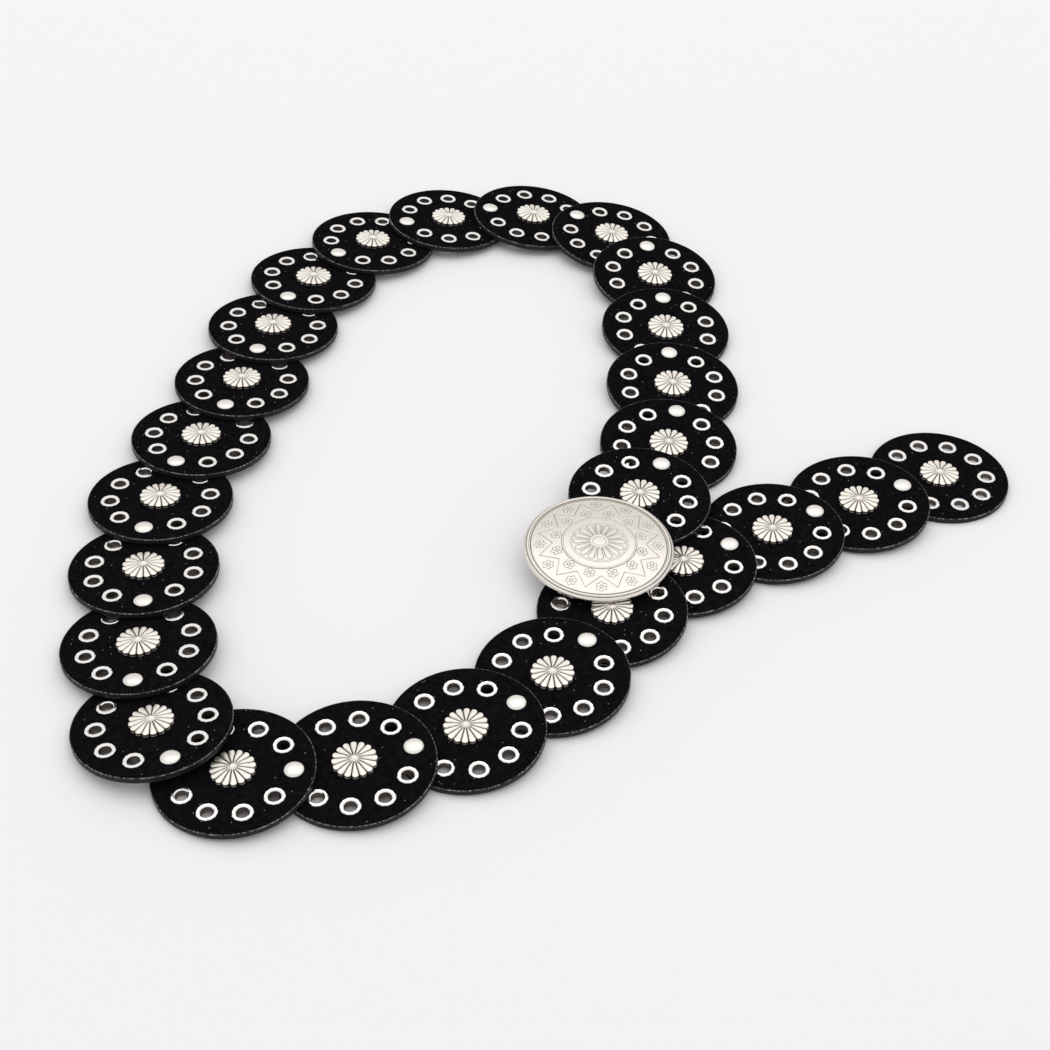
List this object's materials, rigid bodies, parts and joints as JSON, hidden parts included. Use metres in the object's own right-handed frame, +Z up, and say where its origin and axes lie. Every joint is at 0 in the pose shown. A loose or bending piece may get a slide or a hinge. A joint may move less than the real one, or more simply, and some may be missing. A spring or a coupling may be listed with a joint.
{
  "type": "concho belt",
  "caption": "Belt of overlapping round black suede leather discs with silver flower conchos and rivets, fastened by a domed engraved medallion buckle, lying in a loop with a free tail.",
  "frame": {"origin": "under the middle of the belt's plan, on the surface that it lies on", "axes": "+Z up out of the surface, +Y along the loop away from the picture's camera, +X to the picture's right"},
  "size_m": [0.391, 0.4454, 0.0153],
  "materials": {
    "black_suede": "soft black suede, matt, with dark cut edges",
    "silver_metal": "warm silver plate, bright, with dark grooves"
  },
  "bodies": {
    "root": {"buckle_medallion": "silver_metal", "leather_disc_01": "black_suede", "leather_disc_02": "black_suede", "leather_disc_03": "black_suede", "leather_disc_04": "black_suede", "leather_disc_05": "black_suede", "leather_disc_06": "black_suede", "leather_disc_07": "black_suede", "leather_disc_08": "black_suede", "leather_disc_09": "black_suede", "leather_disc_10": "black_suede", "leather_disc_11": "black_suede", "leather_disc_12": "black_suede", "leather_disc_13": "black_suede", "leather_disc_14": "black_suede", "leather_disc_15": "black_suede", "leather_disc_16": "black_suede", "leather_disc_17": "black_suede", "leather_disc_18": "black_suede", "leather_disc_19": "black_suede", "leather_disc_20": "black_suede", "leather_disc_21": "black_suede", "leather_disc_22": "black_suede", "leather_disc_23": "black_suede", "leather_disc_24": "black_suede", "leather_disc_25": "black_suede", "leather_disc_26": "black_suede", "flower_concho_01": "silver_metal", "flower_concho_02": "silver_metal", "flower_concho_03": "silver_metal", "flower_concho_04": "silver_metal", "flower_concho_05": "silver_metal", "flower_concho_06": "silver_metal", "flower_concho_07": "silver_metal", "flower_concho_08": "silver_metal", "flower_concho_09": "silver_metal", "flower_concho_10": "silver_metal", "flower_concho_11": "silver_metal", "flower_concho_12": "silver_metal", "flower_concho_13": "silver_metal", "flower_concho_14": "silver_metal", "flower_concho_15": "silver_metal", "flower_concho_16": "silver_metal", "flower_concho_17": "silver_metal", "flower_concho_18": "silver_metal", "flower_concho_19": "silver_metal", "flower_concho_20": "silver_metal", "flower_concho_21": "silver_metal", "flower_concho_22": "silver_metal", "flower_concho_23": "silver_metal", "flower_concho_24": "silver_metal", "flower_concho_25": "silver_metal", "flower_concho_26": "silver_metal"}
  },
  "joints": []
}
